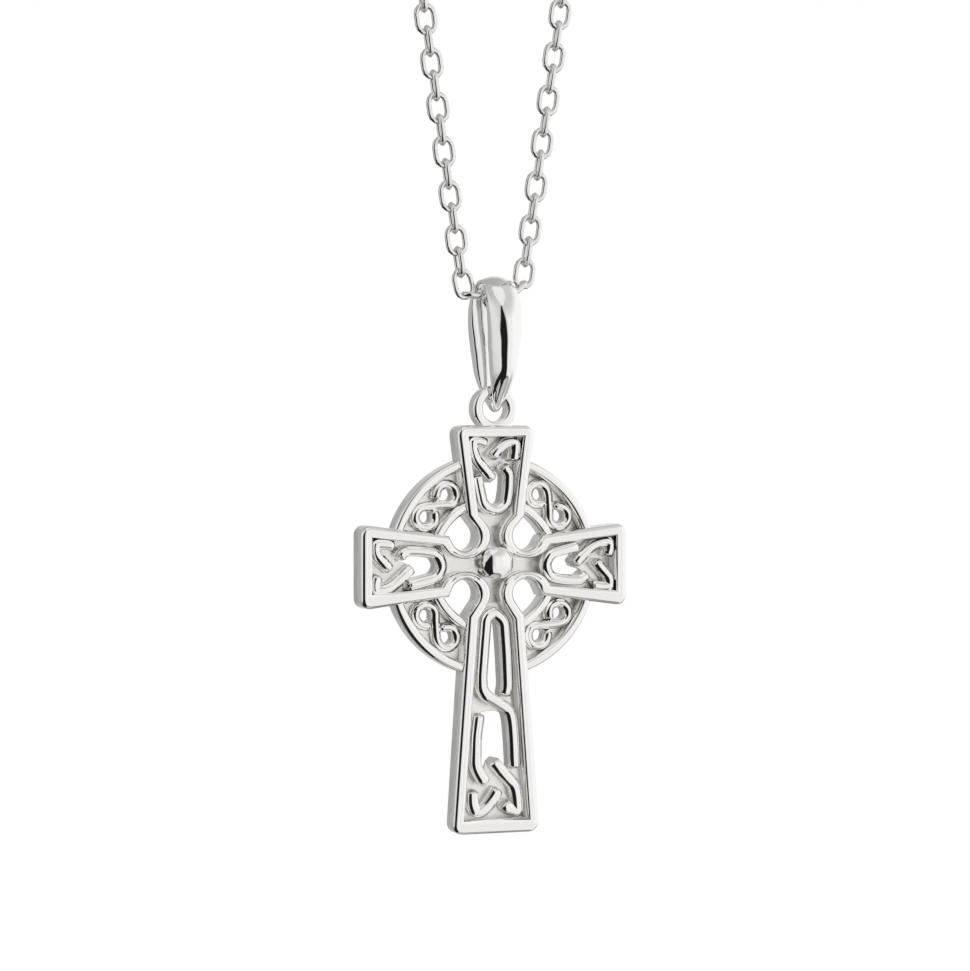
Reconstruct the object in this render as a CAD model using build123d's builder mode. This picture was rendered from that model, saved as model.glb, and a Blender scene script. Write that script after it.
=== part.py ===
from build123d import *
import math
import os

os.makedirs("parts", exist_ok=True)

# A Celtic cross pendant on its chain, in millimetres. +Z is up, the cross faces -Y, and the origin is
# on the inside of the chain at the top of its loop, where a neck or a hook carries it.

# Chain: a fine oval cable chain, held here as a round cord of its thickness. The route is half of
# the loop, from the bail up: the length of each straight run and its lean away from upright.
chain_diameter = 1.2
chain_turn_radius = 0.8
chain_route = [(59.0, 8.4), (57.0, 8.1), (52.0, 7.2), (27.0, -4.0), (15.0, -31.0), (10.0, -60.0)]

# Clasp: a spring ring that lies flat on the neck, with an eye for the chain's fixed end.
clasp_ring_radius = 2.2
clasp_wire_radius = 0.45
clasp_eye_radius = 0.62
clasp_eye_wire_radius = 0.25
clasp_thumb_radius = 0.28
clasp_thumb_length = 0.6
clasp_thumb_turn = 55.0
clasp_gap = 0.05

# Bail: a tapered loop. Its leaf is widest under the chain and narrows to the foot in the eye.
bail_height = 8.5
bail_depth = 5.7
bail_width = 2.15
bail_top_thickness = 0.55
bail_side_thickness = 1.15
bail_foot_height = 0.75
chain_clearance = 0.12

# Cross: reach of each arm from the centre, and half of each arm's width.
side_reach = 8.85
head_reach = 8.77
foot_reach = 16.75
shoulder_half_width = 1.9
shoulder_rise = 3.1
arm_end_half_width = 2.64
foot_end_half_width = 2.88
corner_round = 0.45

# Ring, its two rims, and the round armpit openings between it and the hub.
ring_outer_radius = 6.97
ring_inner_radius = 3.8
rim_width = 0.62
armpit_across = 2.05
armpit_along = 1.85
armpit_radius = 0.9

# Border along the arms.
border_width = 0.6

# Heights above the flat back.
floor_height = 0.35
arm_height = 1.7
arm_knot_height = 1.45
ring_height = 1.3
ring_knot_height = 1.1
over_height = 0.1

# Knotwork.
strand_width = 0.48
ring_strand_width = 0.38

# Boss in the middle: a round post with a domed end, a little above the arms' crossing.
boss_radius = 1.0
boss_height = 2.4
boss_rise = 0.15

# Eye on the top edge, which the bail's foot passes through.
eye_hole_radius = 0.8
eye_outer_radius = 1.45
eye_thickness = 1.15
eye_rise = 1.03
eye_round = 0.3
foot_below_eye_centre = 0.22

# Where the pieces sit, from the top of the loop down.
chain_radius = chain_diameter / 2
clasp_half_length = clasp_ring_radius + clasp_wire_radius + clasp_eye_radius + clasp_eye_wire_radius / 2
chain_end = clasp_half_length + clasp_gap
corner_lean = math.radians(chain_route[0][1])
turn_tangent = chain_turn_radius * math.tan((math.pi / 2 - corner_lean) / 2)
chain_corner = bail_width / 2 + chain_clearance + turn_tangent
loop_height = sum(run * math.cos(math.radians(lean)) for run, lean in chain_route)
chain_top_z = chain_radius
chain_low_z = chain_top_z - loop_height
bail_top_z = chain_low_z + chain_radius + chain_clearance + bail_top_thickness
bail_foot_z = bail_top_z - bail_height
eye_z = bail_foot_z + foot_below_eye_centre
cross_z = eye_z - eye_rise - head_reach
back_y = arm_height / 2
ring_middle_radius = (ring_outer_radius + ring_inner_radius) / 2
band_half = (ring_outer_radius - ring_inner_radius) / 2 - rim_width


def smooth_radii(points, closed=False):
    """Radius at each corner of a line: as large as its two runs allow."""
    if closed:
        points = points[-1:] + points + points[:1]
    radii = []
    for before, here, after in zip(points, points[1:], points[2:]):
        run_in = Vector(here[0] - before[0], here[1] - before[1])
        run_out = Vector(after[0] - here[0], after[1] - here[1])
        turn = math.radians(run_in.get_angle(run_out))
        radii.append(0.45 * min(run_in.length, run_out.length) / math.tan(turn / 2))
    return radii


def face_plane(height):
    """Plane of the cross at a height above its flat back. Its normal points to the front."""
    return Plane(origin=(0, back_y - height, cross_z), x_dir=(1, 0, 0), z_dir=(0, -1, 0))


# Chain: from the clasp down one side, through the bail and up the other side.
half_route = [(chain_corner, chain_low_z)]
for run, lean in chain_route:
    corner_x, corner_z = half_route[-1]
    step_x = run * math.sin(math.radians(lean))
    step_z = run * math.cos(math.radians(lean))
    half_route.append((corner_x + step_x, corner_z + step_z))
half_route.append((chain_end, chain_top_z))
chain_points = half_route[::-1] + [(-x, z) for x, z in half_route]
chain_radii = smooth_radii(chain_points)
low_corner = len(half_route) - 2
chain_radii[low_corner] = chain_turn_radius
chain_radii[low_corner + 1] = chain_turn_radius
print("chain radii", [round(radius, 2) for radius in chain_radii])

with BuildPart() as chain:
    with BuildLine(Plane.XZ) as chain_line:
        FilletPolyline(*chain_points, radius=chain_radii)
    with BuildSketch(Plane(origin=chain_line.line @ 0, z_dir=chain_line.line % 0)):
        Circle(chain_radius)
    sweep(path=chain_line.line)

chain_path_length = chain_line.wires()[0].length
print("chain length with the clasp", round(chain_path_length + 2 * chain_end, 1))
print("chain volume", round(chain.part.volume, 2), "section by length",
      round(math.pi * chain_radius**2 * chain_path_length, 2))
chain.part.label = "chain"
export_step(chain.part, "parts/chain.step")

# Clasp: the ring, the fixed eye on its left and the thumb lever on its rim.
clasp_ring_x = clasp_half_length - clasp_ring_radius - clasp_wire_radius
clasp_eye_x = -clasp_half_length + clasp_eye_radius + clasp_eye_wire_radius
thumb_angle = math.radians(clasp_thumb_turn)
thumb_x = clasp_ring_x + clasp_ring_radius * math.cos(thumb_angle)
thumb_y = -clasp_ring_radius * math.sin(thumb_angle)
thumb_out = (math.cos(thumb_angle), -math.sin(thumb_angle), 0)

with BuildPart() as clasp:
    with Locations((clasp_ring_x, 0, chain_top_z)):
        Torus(clasp_ring_radius, clasp_wire_radius)
    with Locations((clasp_eye_x, 0, chain_top_z)):
        Torus(clasp_eye_radius, clasp_eye_wire_radius)
    with BuildSketch(Plane(origin=(thumb_x, thumb_y, chain_top_z), z_dir=thumb_out)):
        Circle(clasp_thumb_radius)
    extrude(amount=clasp_wire_radius + clasp_thumb_length)

clasp.part.label = "clasp"
export_step(clasp.part, "parts/clasp.step")

# Bail: corners of its outside and its opening seen from the side, as (half depth, height) in shares of
# each, and of the leaf seen from the front, as (half width, height) in shares.
bail_outside = [(0.20, 0.0), (0.40, 0.06), (0.50, 0.15), (0.66, 0.26), (0.88, 0.45), (1.0, 0.63),
                (1.0, 0.74), (0.84, 0.88), (0.52, 0.965), (0.20, 1.0)]
bail_inside = [(0.20, 0.0), (0.42, 0.04), (0.50, 0.12), (0.56, 0.22), (0.80, 0.45), (1.0, 0.66),
               (1.0, 0.765), (0.82, 0.90), (0.38, 1.0)]
bail_leaf = [(0.33, -0.02), (0.36, 0.12), (0.66, 0.27), (0.90, 0.48), (1.0, 0.66), (1.0, 0.78), (0.92, 1.02)]
inside_height = bail_height - bail_foot_height - bail_top_thickness
inside_half_depth = bail_depth / 2 - bail_side_thickness


def both_sides(table, half_size, height, start_z):
    """Corners of a closed outline in millimetres, up its right side and down its left."""
    right = [(share * half_size, start_z + height_share * height) for share, height_share in table]
    return right + [(-x, z) for x, z in right[::-1]]


outside_points = both_sides(bail_outside, bail_depth / 2, bail_height, bail_foot_z)
inside_points = both_sides(bail_inside, inside_half_depth, inside_height, bail_foot_z + bail_foot_height)
leaf_points = both_sides(bail_leaf, bail_width / 2, bail_height, bail_foot_z)

with BuildPart() as bail:
    with BuildSketch(Plane.YZ):
        with BuildLine():
            FilletPolyline(*outside_points, radius=smooth_radii(outside_points, True), close=True)
        make_face()
        with BuildLine():
            FilletPolyline(*inside_points, radius=smooth_radii(inside_points, True), close=True)
        make_face(mode=Mode.SUBTRACT)
    extrude(amount=bail_width, both=True)
    with BuildSketch(Plane.XZ):
        with BuildLine():
            FilletPolyline(*leaf_points, radius=smooth_radii(leaf_points, True), close=True)
        make_face()
    extrude(amount=bail_depth, both=True, mode=Mode.INTERSECT)

bail.part.label = "bail"
export_step(bail.part, "parts/bail.step")


def turned(across, along, turn):
    """A point of an arm, given across and along it, as a point on the cross."""
    angle = math.radians(turn)
    x = across * math.cos(angle) + along * math.sin(angle)
    z = along * math.cos(angle) - across * math.sin(angle)
    return (x, z)


# Arms, clockwise from the head, a quarter turn apart: reach, and half width at the end.
arms = {
    "head": (head_reach, arm_end_half_width),
    "right": (side_reach, arm_end_half_width),
    "foot": (foot_reach, foot_end_half_width),
    "left": (side_reach, arm_end_half_width),
}
arm_names = list(arms)


def arm_turn(name):
    """How far an arm is turned clockwise from the head, in degrees."""
    return arm_names.index(name) * 360 / len(arm_names)


def on_arm(name, across_share, along_share):
    """A point of an arm's knot, across as a share of the half width there, along of the reach."""
    reach, end_half = arms[name]
    along = along_share * reach
    flare = (along - shoulder_rise) / (reach - shoulder_rise)
    half = shoulder_half_width + (end_half - shoulder_half_width) * flare
    return turned(across_share * half, along, arm_turn(name))


def on_ring(quarter, around_share, out_share):
    """A point of a ring knot: around as a share of half its length, outward of half its band."""
    angle = math.radians(quarter + around_share * ring_knot_half_angle)
    radius = ring_middle_radius + out_share * band_half
    return (radius * math.cos(angle), radius * math.sin(angle))


# Knot of the head and the side arms. Points are (across, along) as shares of the arm. A gap's edge
# runs under the strands, which bound the opening.
arm_over = [
    [(-0.57, 0.885), (-0.585, 0.83), (-0.52, 0.76), (-0.30, 0.69), (0.0, 0.605)],
    [(0.23, 0.715), (0.44, 0.66), (0.45, 0.54), (0.39, 0.425), (0.0, 0.385), (-0.37, 0.43),
     (-0.45, 0.53), (-0.53, 0.65)],
    [(-0.10, 0.765), (0.17, 0.84), (0.33, 0.88), (0.56, 0.885), (0.58, 0.82), (0.55, 0.735)],
]
arm_under = [
    [(-0.57, 0.885), (-0.38, 0.885), (-0.18, 0.86)],
]
arm_gap = [
    (0.23, 0.70), (0.44, 0.65), (0.45, 0.54), (0.39, 0.425), (0.0, 0.385), (-0.37, 0.43), (-0.45, 0.53),
    (-0.48, 0.59), (-0.38, 0.62), (-0.06, 0.60), (0.04, 0.60), (0.14, 0.68),
]

# Knot of the foot, with its long loop and one more crossing.
foot_over = [
    [(0.02, 0.171), (0.29, 0.195), (0.34, 0.291), (0.39, 0.415), (0.37, 0.458), (0.25, 0.485),
     (-0.11, 0.514), (-0.43, 0.542), (-0.49, 0.58), (-0.51, 0.64), (-0.52, 0.765)],
    [(0.06, 0.727), (-0.24, 0.78), (-0.51, 0.826), (-0.55, 0.875), (-0.55, 0.925)],
    [(-0.10, 0.833), (0.04, 0.871), (0.22, 0.909), (0.43, 0.925), (0.53, 0.89), (0.55, 0.835)],
]
foot_under = [
    [(0.02, 0.171), (-0.33, 0.205), (-0.38, 0.335), (-0.39, 0.455), (-0.31, 0.493)],
    [(0.43, 0.55), (0.50, 0.636), (0.49, 0.745), (0.37, 0.782), (0.19, 0.817)],
    [(-0.55, 0.925), (-0.36, 0.915), (-0.2, 0.887)],
]
foot_gaps = [
    [(0.02, 0.185), (-0.31, 0.21), (-0.38, 0.335), (-0.39, 0.455), (-0.30, 0.49), (-0.12, 0.505),
     (0.25, 0.48), (0.37, 0.455), (0.38, 0.415), (0.33, 0.291), (0.27, 0.203)],
    [(0.40, 0.56), (0.48, 0.60), (0.50, 0.65), (0.49, 0.745), (0.36, 0.778), (0.20, 0.775), (0.13, 0.735),
     (-0.02, 0.72), (-0.16, 0.735), (-0.32, 0.75), (-0.52, 0.75), (-0.51, 0.64), (-0.46, 0.575),
     (-0.22, 0.548), (0.1, 0.545)],
]

# Figure of eight in each quarter of the ring. Points are (around, outward) as shares of the band.
ring_knot_half_angle = 18.0
ring_over = [(-0.45, -0.66), (-0.27, -0.42), (0.27, 0.42), (0.45, 0.66)]
ring_lobe = [(0.45, 0.66), (0.68, 0.7), (0.9, 0.46), (1.0, -0.02), (0.9, -0.46), (0.68, -0.7), (0.45, -0.66)]
ring_under = [(0.45, -0.66), (0.27, -0.42), (0.14, -0.22)]
ring_gap = [(0.30, 0.0), (0.47, -0.56), (0.68, -0.62), (0.86, -0.42), (0.95, -0.02), (0.86, 0.42),
            (0.68, 0.62), (0.47, 0.56)]

quarters = (45, 135, 225, 315)


def strand(points, width):
    """Flat outline of one strand of a knot, joined to the open sketch."""
    with BuildLine() as line:
        FilletPolyline(*points, radius=smooth_radii(points))
    trace(line.line, line_width=width)


def armpit_touch(shoulder, side_x, side_z, sense):
    """Where the straight edge from a shoulder meets the round armpit opening."""
    centre = Vector(side_x * armpit_across, side_z * armpit_along)
    away = Vector(*shoulder) - centre
    spread = math.acos(armpit_radius / away.length)
    angle = math.atan2(away.Y, away.X) + sense * spread
    return centre + Vector(math.cos(angle), math.sin(angle)) * armpit_radius


with BuildSketch() as arm_outline:
    with BuildLine():
        for index, name in enumerate(arm_names):
            next_name = arm_names[(index + 1) % len(arm_names)]
            turn = arm_turn(name)
            next_turn = arm_turn(next_name)
            reach, end_half = arms[name]
            next_reach, next_half = arms[next_name]
            left_end = turned(-end_half, reach, turn)
            right_end = turned(end_half, reach, turn)
            shoulder = turned(shoulder_half_width, shoulder_rise, turn)
            next_shoulder = turned(-shoulder_half_width, shoulder_rise, next_turn)
            next_end = turned(-next_half, next_reach, next_turn)
            side_x = math.copysign(1, shoulder[0] + next_shoulder[0])
            side_z = math.copysign(1, shoulder[1] + next_shoulder[1])
            touch = armpit_touch(shoulder, side_x, side_z, 1)
            next_touch = armpit_touch(next_shoulder, side_x, side_z, -1)
            armpit_centre = Vector(side_x * armpit_across, side_z * armpit_along)
            inmost = armpit_centre - armpit_centre.normalized() * armpit_radius
            Line(left_end, right_end)
            Line(right_end, shoulder)
            Line(shoulder, touch)
            ThreePointArc(touch, inmost, next_touch)
            Line(next_touch, next_shoulder)
            Line(next_shoulder, next_end)
    make_face()
    ends = arm_outline.vertices().filter_by(lambda v: max(abs(v.X), abs(v.Y)) > ring_outer_radius)
    fillet(ends, corner_round)

with BuildSketch() as arm_border:
    add(arm_outline.sketch)
    offset(arm_outline.sketch, amount=-border_width, kind=Kind.INTERSECTION, mode=Mode.SUBTRACT)

with BuildSketch() as ring_band:
    Circle(ring_outer_radius)
    Circle(ring_inner_radius, mode=Mode.SUBTRACT)

with BuildSketch() as ring_rims:
    Circle(ring_outer_radius)
    Circle(ring_outer_radius - rim_width, mode=Mode.SUBTRACT)
    Circle(ring_inner_radius + rim_width)
    Circle(ring_inner_radius, mode=Mode.SUBTRACT)
    add(arm_outline.sketch, mode=Mode.SUBTRACT)

with BuildSketch() as knot_gaps:
    for name in ("head", "right", "left"):
        Polygon(*[on_arm(name, *point) for point in arm_gap], align=None)
    for gap in foot_gaps:
        Polygon(*[on_arm("foot", *point) for point in gap], align=None)
    for quarter in quarters:
        for side in (1, -1):
            Polygon(*[on_ring(quarter, side * around, out) for around, out in ring_gap], align=None)

with BuildSketch() as arm_knots_under:
    for name in ("head", "right", "left"):
        for points in arm_under:
            strand([on_arm(name, *point) for point in points], strand_width)
    for points in foot_under:
        strand([on_arm("foot", *point) for point in points], strand_width)

with BuildSketch() as arm_knots_over:
    for name in ("head", "right", "left"):
        for points in arm_over:
            strand([on_arm(name, *point) for point in points], strand_width)
    for points in foot_over:
        strand([on_arm("foot", *point) for point in points], strand_width)

with BuildSketch() as ring_knots_under:
    for quarter in quarters:
        for side in (1, -1):
            strand([on_ring(quarter, side * a, side * b) for a, b in ring_lobe], ring_strand_width)
            strand([on_ring(quarter, side * a, side * b) for a, b in ring_under], ring_strand_width)

with BuildSketch() as ring_knots_over:
    for quarter in quarters:
        strand([on_ring(quarter, a, b) for a, b in ring_over], ring_strand_width)

# Sketches of the casting and how far each is raised above the flat back.
raised = [
    (ring_rims, ring_height),
    (ring_knots_under, ring_knot_height),
    (ring_knots_over, ring_knot_height + over_height),
    (arm_knots_under, arm_knot_height),
    (arm_knots_over, arm_knot_height + over_height),
    (arm_border, arm_height),
]
eye_centre = (0, 0, eye_z)

with BuildPart() as cross:
    with BuildSketch(face_plane(0)):
        add(arm_outline.sketch)
        add(ring_band.sketch)
        add(knot_gaps.sketch, mode=Mode.SUBTRACT)
    extrude(amount=floor_height)
    for sketch, height in raised:
        with BuildSketch(face_plane(0)):
            add(sketch.sketch)
        extrude(amount=height)
    with BuildSketch(face_plane(0)):
        with Locations((0, boss_rise)):
            Circle(boss_radius)
    extrude(amount=boss_height - boss_radius)
    with Locations((0, back_y - boss_height + boss_radius, cross_z + boss_rise)):
        Sphere(boss_radius)
    with BuildSketch(Plane(origin=eye_centre, x_dir=(1, 0, 0), z_dir=(0, -1, 0))):
        Circle(eye_outer_radius)
    extrude(amount=eye_thickness / 2, both=True)
    with BuildSketch(Plane(origin=eye_centre, x_dir=(1, 0, 0), z_dir=(0, -1, 0))):
        Circle(eye_hole_radius)
    extrude(amount=arm_height, both=True, mode=Mode.SUBTRACT)
    hole_rims = cross.edges().filter_by(GeomType.CIRCLE).filter_by(
        lambda e: abs(e.radius - eye_hole_radius) < 0.001 and abs(e.arc_center.Z - eye_z) < 0.001)
    fillet(hole_rims, eye_round)

cross.part.label = "cross"
export_step(cross.part, "parts/cross.step")
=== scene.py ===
import math

import bmesh
import bpy
from mathutils import Matrix, Vector


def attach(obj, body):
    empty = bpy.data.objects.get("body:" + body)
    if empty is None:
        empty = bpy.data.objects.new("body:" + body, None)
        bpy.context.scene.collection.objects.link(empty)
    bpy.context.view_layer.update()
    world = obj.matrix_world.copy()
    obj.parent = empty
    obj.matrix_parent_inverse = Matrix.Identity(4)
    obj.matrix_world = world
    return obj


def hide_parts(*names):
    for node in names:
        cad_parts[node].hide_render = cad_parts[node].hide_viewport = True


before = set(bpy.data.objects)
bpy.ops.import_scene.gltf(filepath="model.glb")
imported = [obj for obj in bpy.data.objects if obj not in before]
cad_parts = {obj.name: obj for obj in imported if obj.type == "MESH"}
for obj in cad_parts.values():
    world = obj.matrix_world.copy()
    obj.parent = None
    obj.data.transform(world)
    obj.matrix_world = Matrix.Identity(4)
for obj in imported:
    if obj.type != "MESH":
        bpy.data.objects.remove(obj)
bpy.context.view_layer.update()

# Camera: close to the cross, a little to its left and level with the hub, as for a catalogue picture.
head_top = -218.62          # top edge of the head, in mm below the top of the chain's loop
head_reach = 8.77
cross_z = head_top - head_reach
camera_turn = math.radians(-20.5)
camera_rise = math.radians(0.6)
camera_distance = 180.0
frame_width = 60.6          # what the picture's width covers at the cross, in mm
aim_x = -0.5                # the picture's middle, from the hub's line
aim_above = 5.0             # and above the hub
camera_aim = Vector((aim_x, 0.0, cross_z + aim_above)) / 1000
away = Vector((math.sin(camera_turn) * math.cos(camera_rise),
               -math.cos(camera_turn) * math.cos(camera_rise), math.sin(camera_rise)))
camera_data = bpy.data.cameras.new("catalogue_camera")
camera_data.sensor_fit = "HORIZONTAL"
camera_data.sensor_width = 36.0
camera_data.lens = 36.0 * camera_distance / frame_width
camera_data.clip_start = 0.01
camera_data.clip_end = 20.0
camera = bpy.data.objects.new("catalogue_camera", camera_data)
camera.location = camera_aim + away * camera_distance / 1000
camera.rotation_euler = away.to_track_quat("Z", "Y").to_euler()
bpy.context.scene.collection.objects.link(camera)
bpy.context.scene.camera = camera
bpy.context.scene.view_settings.view_transform = "Standard"


# Studio: a white light tent round the necklace, greyer behind and on the left, with one dark gap
# in front, where the camera looks in. Polished silver shows little but this tent.
def linear(hex_colour):
    """An sRGB hex colour as linear red, green, blue, alpha."""
    parts = [int(hex_colour[i:i + 2], 16) / 255 for i in (1, 3, 5)]
    return [c / 12.92 if c <= 0.04045 else ((c + 0.055) / 1.055) ** 2.4 for c in parts] + [1.0]


def add_node(tree, kind, settings=None, **inputs):
    """A node with its settings and its inputs, each a value or another node's output."""
    node = tree.nodes.new(kind)
    for name, value in (settings or {}).items():
        setattr(node, name, value)
    for name, value in inputs.items():
        socket = node.inputs[int(name[1:])] if name[0] == "i" and name[1:].isdigit() else node.inputs[name]
        if isinstance(value, bpy.types.NodeSocket):
            tree.links.new(value, socket)
        else:
            socket.default_value = value
    return node


world = bpy.data.worlds.new("light_tent")
bpy.context.scene.world = world
world.use_nodes = True
tent = world.node_tree
tent.nodes.clear()
product = {"operation": "MULTIPLY"}
difference = {"operation": "SUBTRACT"}
plain_number = {"data_type": "FLOAT"}
direction = add_node(tent, "ShaderNodeTexCoord").outputs["Generated"]
axes = add_node(tent, "ShaderNodeSeparateXYZ", i0=direction).outputs
facing = add_node(tent, "ShaderNodeMath", product, i0=axes["Y"], i1=-1.0).outputs[0]
around = add_node(tent, "ShaderNodeMath", {"operation": "ARCTAN2"}, i0=axes["X"], i1=facing).outputs[0]
height = add_node(tent, "ShaderNodeMath", {"operation": "ARCSINE"}, i0=axes["Z"]).outputs[0]
turn = add_node(tent, "ShaderNodeMath", product, i0=around, i1=math.degrees(1)).outputs[0]
rise = add_node(tent, "ShaderNodeMath", product, i0=height, i1=math.degrees(1)).outputs[0]


def ramp(tree, value, stops):
    """A number that changes evenly between stops, each a value and the number there."""
    low, high = stops[0][0], stops[-1][0]
    share = add_node(tree, "ShaderNodeMapRange", i0=value, i1=low, i2=high, i3=0.0, i4=1.0)
    node = add_node(tree, "ShaderNodeFloatCurve", Value=share.outputs[0])
    peak = max(abs(number) for _, number in stops)
    curve = node.mapping.curves[0]
    for index, (stop, number) in enumerate(stops):
        spot = ((stop - low) / (high - low), abs(number) / peak)
        if index < 2:
            curve.points[index].location = spot
        else:
            curve.points.new(*spot)
    for point in curve.points:
        point.handle_type = "VECTOR"
    node.mapping.update()
    sign = -1.0 if min(number for _, number in stops) < 0 else 1.0
    return add_node(tree, "ShaderNodeMath", product, i0=node.outputs[0], i1=peak * sign).outputs[0]


def step_up(tree, value, start, softness):
    """0 below a start and 1 above it, with a soft edge."""
    over = add_node(tree, "ShaderNodeMath", difference, i0=value, i1=start).outputs[0]
    return add_node(tree, "ShaderNodeMapRange", {"interpolation_type": "SMOOTHSTEP"},
                    i0=over, i1=-softness, i2=softness, i3=0.0, i4=1.0).outputs[0]


# light of the tent's wall, by degrees round from the front
wall = ramp(tent, turn, [(-180, 0.42), (-140, 0.42), (-105, 0.75), (-82, 0.75), (-31, 0.45), (-24, 0.72),
                         (-10, 0.86), (5, 0.92), (20, 0.84), (45, 0.95), (150, 0.95), (166, 0.7),
                         (180, 0.42)])
# the ceiling is dimmer than the wall, most of all at the back
ceiling_start = step_up(tent, rise, 40, 14)
ceiling = ramp(tent, turn, [(-180, 0.42), (-100, 0.45), (-60, 0.6), (100, 0.62), (140, 0.46), (180, 0.42)])
glow = add_node(tent, "ShaderNodeMix", plain_number, i0=ceiling_start, i2=wall, i3=ceiling).outputs[0]
# a bright lamp overhead, with its lower edge by degrees round
lamp_light = 0.84
lamp_edge = ramp(tent, turn, [(-180, 95), (-140, 95), (-90, 69), (-60, 58), (-42, 49), (-25, 54), (-5, 66),
                              (60, 75), (110, 95), (180, 95)])
lamp_start = step_up(tent, rise, lamp_edge, 3)
glow = add_node(tent, "ShaderNodeMix", plain_number, i0=lamp_start, i2=glow, i3=lamp_light).outputs[0]
# below the wall the light falls off towards the front, and the floor is grey
under = add_node(tent, "ShaderNodeMapRange", i0=facing, i1=-0.5, i2=0.1, i3=0.25, i4=0.85).outputs[0]
wall_start = step_up(tent, rise, -20, 14)
glow = add_node(tent, "ShaderNodeMix", plain_number, i0=wall_start, i2=under, i3=glow).outputs[0]
floor_light = 0.28
floor_stop = step_up(tent, rise, -60, 2)
glow = add_node(tent, "ShaderNodeMix", plain_number, i0=floor_stop, i2=floor_light, i3=glow).outputs[0]
# the gap's two sides, by degrees up from level, and its top
gap_light = 0.012
gap_left = ramp(tent, rise, [(-90, -168), (-38, -160), (-34, -112), (-21, -89), (-10, -80), (0, -78),
                             (14, -66), (48, -46), (90, -44)])
gap_right = ramp(tent, rise, [(-90, -31), (20, -31), (48, -38), (90, -38)])
gap_start = step_up(tent, turn, gap_left, 3)
gap_stop = step_up(tent, turn, gap_right, 3)
gap_top = step_up(tent, rise, 49, 2)
in_gap = add_node(tent, "ShaderNodeMath", difference, i0=gap_start, i1=gap_stop).outputs[0]
below_top = add_node(tent, "ShaderNodeMath", difference, i0=1.0, i1=gap_top).outputs[0]
in_gap = add_node(tent, "ShaderNodeMath", product, i0=in_gap, i1=below_top).outputs[0]
glow = add_node(tent, "ShaderNodeMix", plain_number, i0=in_gap, i2=glow, i3=gap_light).outputs[0]
# the camera itself sees plain white behind the necklace
camera_ray = add_node(tent, "ShaderNodeLightPath").outputs["Is Camera Ray"]
glow = add_node(tent, "ShaderNodeMix", plain_number, i0=camera_ray, i2=glow, i3=1.0).outputs[0]
light = add_node(tent, "ShaderNodeBackground", Strength=glow)
light.inputs["Color"].default_value = (1, 1, 1, 1)
add_node(tent, "ShaderNodeOutputWorld", Surface=light.outputs[0])


# Table top below the necklace: a round board of stiff card, matt and nearly white, cut out and laid
# flat. It lies well below the cross, where the picture doesn't show it.
def mesh_of(bm, name):
    """A bmesh as a mesh. The bmesh is freed."""
    mesh = bpy.data.meshes.new(name)
    bm.to_mesh(mesh)
    bm.free()
    return mesh


def object_of(bm, name):
    """A bmesh as an object in the scene."""
    piece = bpy.data.objects.new(name, mesh_of(bm, name))
    bpy.context.scene.collection.objects.link(piece)
    return piece


board_radius = 0.09
board_z = -0.50
bm = bmesh.new()
bmesh.ops.create_circle(bm, cap_ends=True, radius=board_radius, segments=96)
bmesh.ops.translate(bm, vec=(0, 0, board_z), verts=bm.verts)
table_top = object_of(bm, "table_top")
pale = bpy.data.materials.new("matt_white_board")
pale.use_nodes = True
pale_shader = pale.node_tree.nodes["Principled BSDF"]
pale_shader.inputs["Base Color"].default_value = linear("#e9e8e5")
pale_shader.inputs["Roughness"].default_value = 0.85
table_top.data.materials.append(pale)


# Cross: one silver casting, polished on its raised parts and left greyer in its wells. It is made
# here in millimetres about the hub, with its height above the flat back as Z, and stood up at the end.
cross_meshes = []
back_y = 0.85               # the flat back, behind the plane of the chain
side_reach = 8.85
foot_reach = 16.7
shoulder_half = 1.9         # half of an arm's width where its sides turn in to the hub
shoulder_rise = 3.1
arm_end_half = 2.65
foot_end_half = 2.91
armpit_across = 2.05
armpit_above = 1.85
armpit_below = 1.74
armpit_radius = 0.9
armpit_steps = 16
armpit_squeeze = Vector((1.03, 0.87))       # the border's inner side round an armpit, against a circle
border_width = 0.72
low_border_extra = 0.16
arm_height = 1.7
foot_end_thinner = 0.36
floor_height = 0.37
arm_corner = 0.7
outer_round = 0.36
inner_round = 0.24
outer_edge_reach = 0.3      # edges nearer to the outline than this belong to its outer side
border_polish = 0.35        # how far down from its top a border is polished on its inner side
border_polish_reach = 0.6   # and how much of its width is polished all the way down
arms = {"head": (0, head_reach, arm_end_half), "right": (90, side_reach, arm_end_half),
        "foot": (180, foot_reach, foot_end_half), "left": (270, side_reach, arm_end_half)}


def turned(across, along, turn):
    """A point of an arm, given across and along it, as a point on the cross."""
    angle = math.radians(turn)
    return Vector((across * math.cos(angle) + along * math.sin(angle),
                   along * math.cos(angle) - across * math.sin(angle)))


def on_arm(name, across_share, along_share):
    """A point of an arm's knot, across as a share of the half width there, along of the reach."""
    turn, reach, end_half = arms[name]
    along = along_share * reach
    flare = (along - shoulder_rise) / (reach - shoulder_rise)
    return turned(across_share * (shoulder_half + (end_half - shoulder_half) * flare), along, turn)


def armpit_centre(x, y):
    """The centre of the round opening in the quarter of the cross that a point lies in."""
    return Vector((math.copysign(armpit_across, x), armpit_above if y > 0 else -armpit_below))


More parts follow.
